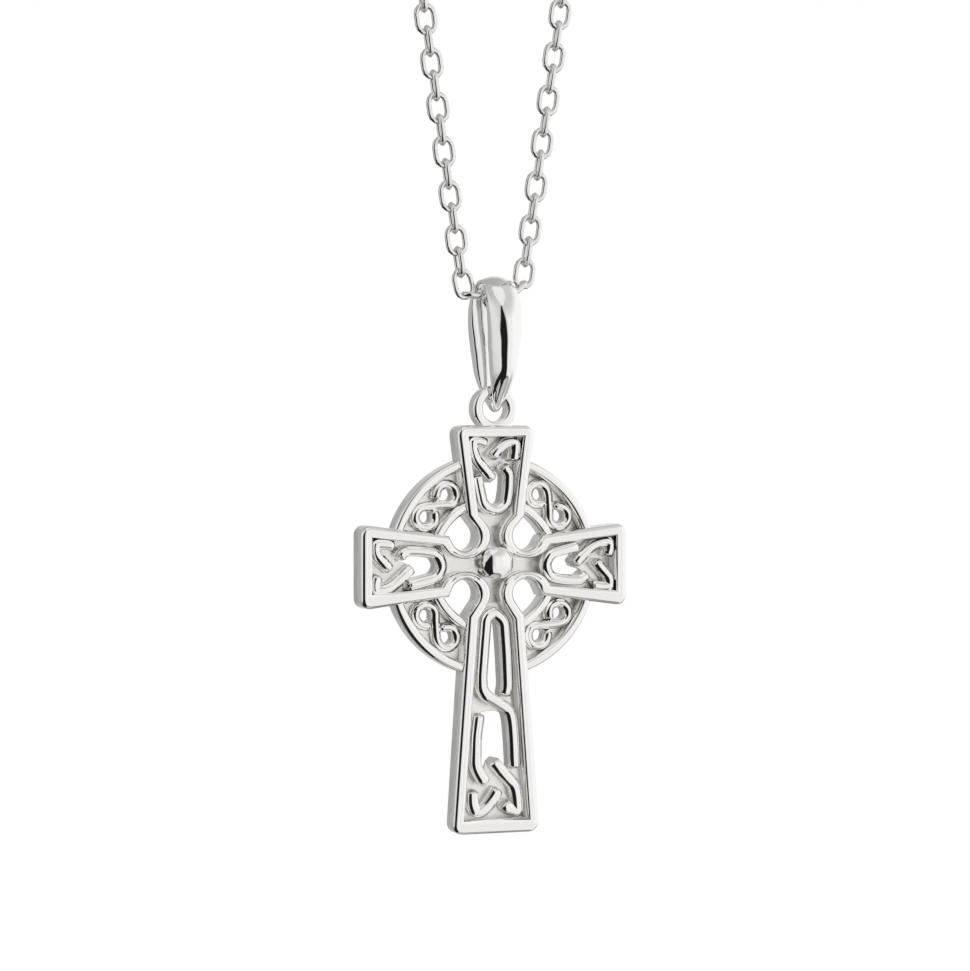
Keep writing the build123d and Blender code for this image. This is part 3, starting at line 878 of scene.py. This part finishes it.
# Silver wire, drawn through a plate, bent, soldered and tumbled: fine scratches in every direction
# dull its shine a little, and the small dents of tumbling break up its highlights.
wire_silver, tree, shader, place = bare_silver("drawn_silver_wire")
scratches_per_mm = 9.0
dents_per_mm = 2.5
scratches = add_node(tree, "ShaderNodeTexNoise", Vector=place, Scale=1000 * scratches_per_mm,
                     Detail=2.0, Roughness=0.6).outputs["Fac"]
dents = add_node(tree, "ShaderNodeTexNoise", Vector=place, Scale=1000 * dents_per_mm,
                 Detail=1.0, Roughness=0.4).outputs["Fac"]
haze = add_node(tree, "ShaderNodeMapRange", i0=scratches, i1=0.3, i2=0.7, i3=0.07, i4=0.15)
tree.links.new(haze.outputs[0], shader.inputs["Roughness"])
tint = add_node(tree, "ShaderNodeMix", {"data_type": "RGBA"}, i0=dents,
                i6=linear("#ebeae8"), i7=linear("#f5f4f2"))
tree.links.new(tint.outputs[2], shader.inputs["Base Color"])
bumps = add_node(tree, "ShaderNodeBump", Height=dents, Strength=0.12, Distance=0.00003)
tree.links.new(bumps.outputs[0], shader.inputs["Normal"])
chain_links.data.materials.append(wire_silver)
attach(chain_links, "necklace")
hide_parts("chain")


# Clasp: a spring ring of silver tube, with its soldered eye, its thumb lever, and the jump ring that
# it closes on. The neck hides it.
def wire_ring(bm, centre_x, radius, wire, flat, steps=40, sides=14):
    """A ring of wire at the top of the chain, lying flat or standing along it."""
    centre = Vector((centre_x, 0, chain_top))
    made = bmesh.ops.create_circle(bm, segments=sides, radius=wire)["verts"]
    axis = (0, 0, 1) if flat else (0, 1, 0)
    stand = Matrix.Rotation(math.radians(90), 3, "X") if flat else Matrix.Identity(3)
    for vert in made:
        vert.co = stand @ vert.co + Vector((radius, 0, 0)) + centre
    geometry = made + list({e for v in made for e in v.link_edges})
    bmesh.ops.spin(bm, geom=geometry, cent=centre, axis=axis, angle=2 * math.pi, steps=steps,
                   use_merge=True, use_duplicate=False)


lever_length = clasp_wire + 0.6
lever_foot = 0.24
lever_head = 0.28
lever_turn = -55            # degrees round the ring from its right-hand side
clasp_soft_edge = 0.06
jump_x = clasp_ring_x + clasp_ring_radius - clasp_wire + jump_radius - jump_wire
bm = bmesh.new()
wire_ring(bm, clasp_ring_x, clasp_ring_radius, clasp_wire, True, 64, 18)
wire_ring(bm, clasp_eye_x, clasp_eye_radius, clasp_eye_wire, True)
wire_ring(bm, jump_x, jump_radius, jump_wire, False)
lever = bmesh.ops.create_cone(bm, cap_ends=True, segments=18, radius1=lever_foot, radius2=lever_head,
                              depth=lever_length)["verts"]
lever_out = polar(1, lever_turn).to_3d()
lever_centre = Vector((clasp_ring_x, 0, chain_top)) + lever_out * (clasp_ring_radius + lever_length / 2)
lever_lie = lever_out.to_track_quat("Z", "Y").to_matrix().to_4x4()
bmesh.ops.transform(bm, matrix=Matrix.Translation(lever_centre) @ lever_lie, verts=lever)
bmesh.ops.recalc_face_normals(bm, faces=bm.faces)
spring_ring = piece_of(bm, "spring_ring")
soft_edges = spring_ring.modifiers.new("soft_edges", "BEVEL")
soft_edges.width = clasp_soft_edge / 1000
soft_edges.segments = 2
soft_edges.limit_method = "ANGLE"
soft_edges.angle_limit = math.radians(50)
spring_ring.data.materials.append(mirror_silver)
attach(spring_ring, "necklace")
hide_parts("clasp")
